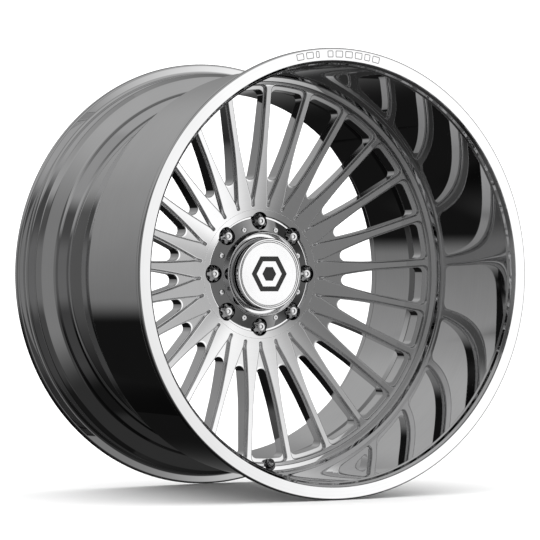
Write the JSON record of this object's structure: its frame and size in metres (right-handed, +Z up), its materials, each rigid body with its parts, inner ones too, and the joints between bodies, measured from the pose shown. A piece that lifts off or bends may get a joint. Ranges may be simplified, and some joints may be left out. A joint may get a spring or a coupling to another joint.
{
  "type": "forged wheel rim",
  "caption": "Deep-lip forged wheel rim with slim radial spokes welded into a rolled barrel, with a bolt-on hub cap, fluted lug nuts and a clamp-in tyre valve.",
  "frame": {"origin": "centre of the hub mounting face, on the axle line", "axes": "the wheel spins about Y; the street side faces -Y, the hub and brakes are on the +Y side, +Z is up with the valve at 6 o'clock"},
  "size_m": [0.6953, 0.4314, 0.6954],
  "materials": {
    "polished_barrel": "mirror polished, fine turning marks on the lip",
    "polished_centre": "polished faces, milled pockets",
    "weld_metal": "rippled as-welded bead",
    "polished_cap": "mirror polished",
    "satin_disc": "fine satin turned face",
    "dark_mark": "dark enamel fill",
    "seal_rubber": "matt black rubber",
    "screw_steel": "bright stainless steel",
    "plated_nut": "bright chrome plate",
    "plated_valve": "bright chrome plate",
    "core_brass": "plain turned brass",
    "spring_steel": "bright spring wire"
  },
  "bodies": {
    "wheel": {"barrel": "polished_barrel", "wheel_centre": "polished_centre", "weld_bead": "weld_metal", "cap_base": "polished_cap", "cap_disc": "satin_disc", "cap_emblem": "dark_mark", "cap_seal_ring": "seal_rubber", "cap_screws": "screw_steel", "disc_screws": "screw_steel", "lug_nuts": "plated_nut", "valve_stem": "plated_valve", "valve_grommet": "seal_rubber", "valve_washer": "plated_valve", "valve_nut": "plated_valve", "valve_core_body": "core_brass", "valve_core_spring": "spring_steel"},
    "valve_pin": {"valve_core_pin": "core_brass", "valve_core_seal": "seal_rubber"},
    "cap_lift": {"valve_cap_seal": "seal_rubber"},
    "cap_turn": {"valve_cap": "plated_valve"}
  },
  "joints": [
    {"name": "valve_pin_press", "type": "slide", "parent": "wheel", "child": "valve_pin", "axis": [0, -0.7431, 0.6691], "range_m": [-0.0012, 0], "stiffness_N_per_m": 1500, "springref_m": 0.002, "deforming": ["valve_core_spring"]},
    {"name": "valve_cap_lift", "type": "slide", "parent": "wheel", "child": "cap_lift", "axis": [0, -0.7431, 0.6691], "range_m": [0, 0.0096]},
    {"name": "valve_cap_turn", "type": "hinge", "parent": "cap_lift", "child": "cap_turn", "pos_m": [0, -0.06704, -0.3127], "axis": [0, -0.7431, 0.6691], "range_deg": [0, 4320]}
  ],
  "couplings": [
    {"joint": "valve_cap_lift", "follows": "valve_cap_turn", "m_per_rad": 0.00012637}
  ]
}
